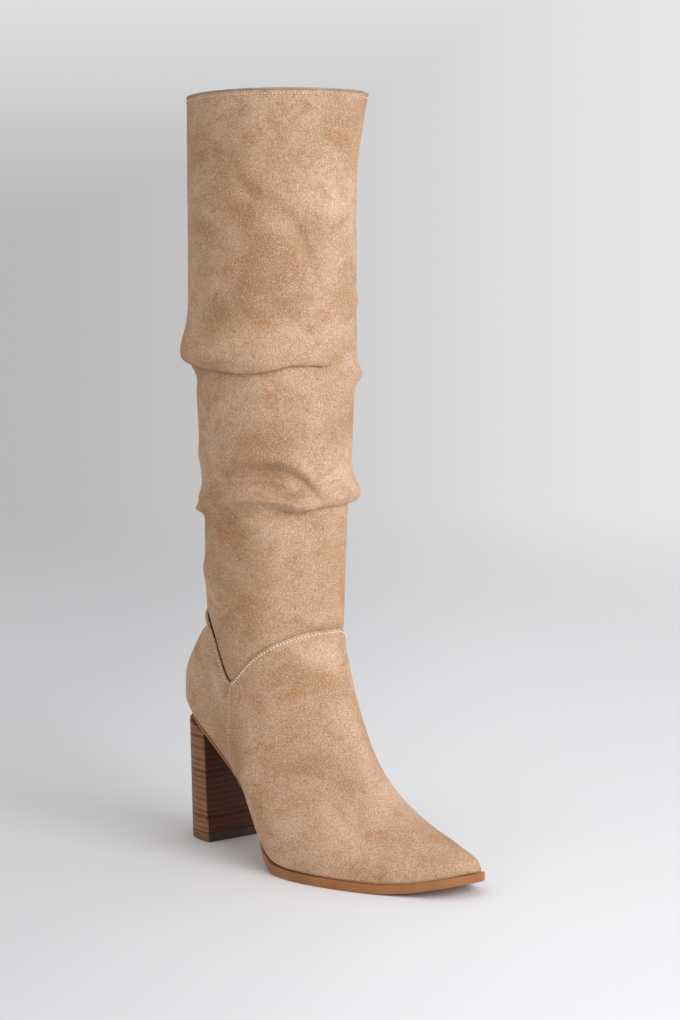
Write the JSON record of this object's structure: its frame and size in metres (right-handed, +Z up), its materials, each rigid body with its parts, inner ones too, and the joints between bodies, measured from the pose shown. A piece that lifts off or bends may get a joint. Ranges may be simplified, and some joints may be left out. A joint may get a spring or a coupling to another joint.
{
  "type": "slouch knee-high boot",
  "caption": "Tan suede slouch knee-high boot for the right foot, with a stacked block heel, a thin leather-look sole and an inner side zip.",
  "frame": {"origin": "middle of the heel's face on the ground", "axes": "+X towards the toe, +Y towards the inner side of the foot, +Z up the leg"},
  "size_m": [0.2569, 0.1031, 0.4848],
  "materials": {
    "suede": "napped microsuede",
    "outsole": "satin",
    "stacked_heel": "satin, stacked layers",
    "top_piece": "matte",
    "insole": "matte",
    "zip_tape": "woven",
    "zip_coil": "satin",
    "zip_metal": "nickel plated"
  },
  "bodies": {
    "boot": {"outsole": "outsole", "heel_block": "stacked_heel", "top_piece": "top_piece", "insole": "insole", "upper": "suede", "shaft": "suede", "zip_tape": "zip_tape", "zip_teeth": "zip_coil", "zip_slider": "zip_metal"},
    "pull": {"zip_pull": "zip_metal"}
  },
  "joints": [
    {"name": "pull_swing", "type": "hinge", "parent": "boot", "child": "pull", "pos_m": [0.03424, 0.04899, 0.4598], "axis": [0.9399, 0.3415, 0], "range_deg": [0, 165]}
  ]
}
